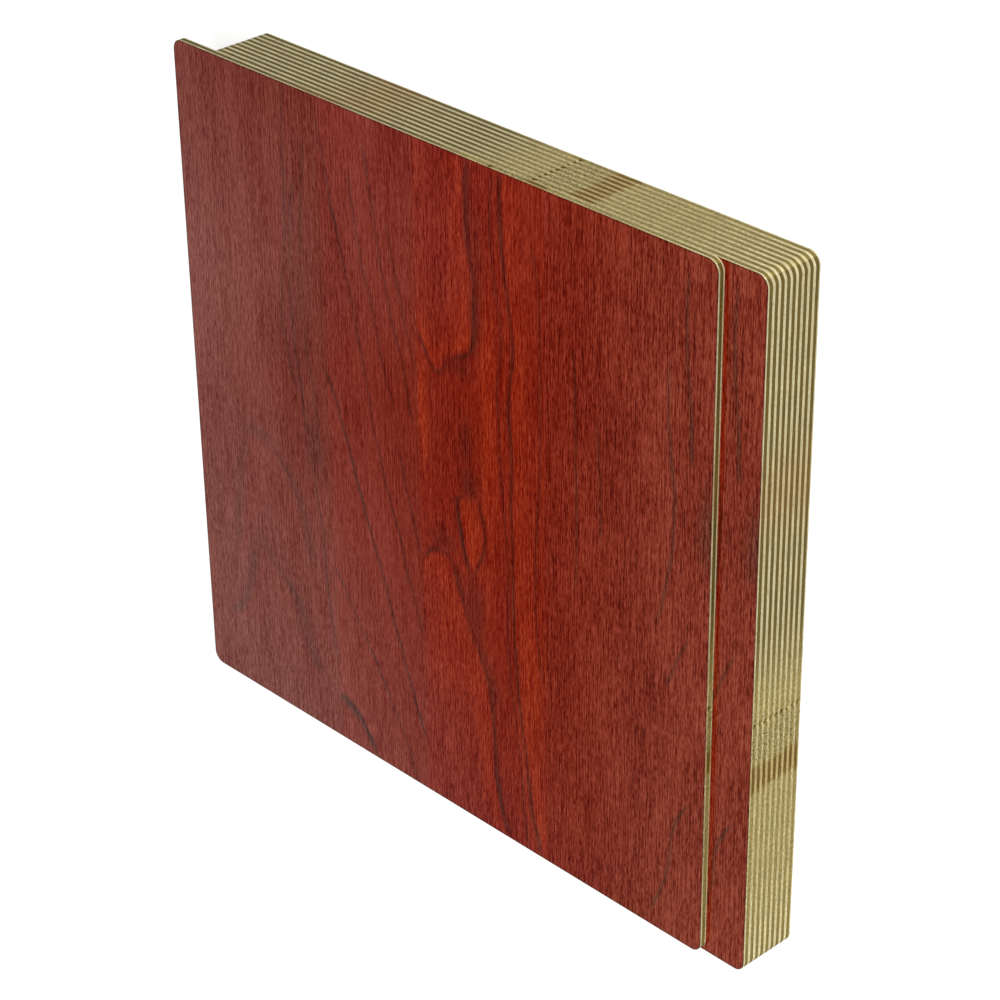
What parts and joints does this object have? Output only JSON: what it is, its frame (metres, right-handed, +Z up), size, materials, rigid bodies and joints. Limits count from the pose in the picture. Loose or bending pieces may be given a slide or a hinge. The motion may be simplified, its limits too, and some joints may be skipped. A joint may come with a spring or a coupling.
{
  "type": "stack of plywood sheets",
  "caption": "Flat stack of square plywood sheets with rounded corners, striped ply edges and red wood-grain faces, the top sheet slid a little to one side; raw stock for cutting.",
  "frame": {"origin": "centre of the lowest sheet's underside, on the surface that the stack lies on", "axes": "+Z up through the stack, -X the way the top sheet has slid, +Y along the grain of the faces"},
  "size_m": [0.32, 0.3, 0.03],
  "materials": {
    "back_ply": "sanded veneer, matt",
    "core_ply": "sawn veneer, matt",
    "face_ply": "veneer with a satin red wood-grain surface"
  },
  "bodies": {
    "root": {"sheet_01_back_ply": "back_ply", "sheet_01_core_ply": "core_ply", "sheet_01_face_ply": "face_ply", "sheet_02_back_ply": "back_ply", "sheet_02_core_ply": "core_ply", "sheet_02_face_ply": "face_ply", "sheet_03_back_ply": "back_ply", "sheet_03_core_ply": "core_ply", "sheet_03_face_ply": "face_ply", "sheet_04_back_ply": "back_ply", "sheet_04_core_ply": "core_ply", "sheet_04_face_ply": "face_ply", "sheet_05_back_ply": "back_ply", "sheet_05_core_ply": "core_ply", "sheet_05_face_ply": "face_ply", "sheet_06_back_ply": "back_ply", "sheet_06_core_ply": "core_ply", "sheet_06_face_ply": "face_ply", "sheet_07_back_ply": "back_ply", "sheet_07_core_ply": "core_ply", "sheet_07_face_ply": "face_ply", "sheet_08_back_ply": "back_ply", "sheet_08_core_ply": "core_ply", "sheet_08_face_ply": "face_ply", "sheet_09_back_ply": "back_ply", "sheet_09_core_ply": "core_ply", "sheet_09_face_ply": "face_ply", "sheet_10_back_ply": "back_ply", "sheet_10_core_ply": "core_ply", "sheet_10_face_ply": "face_ply"}
  },
  "joints": []
}
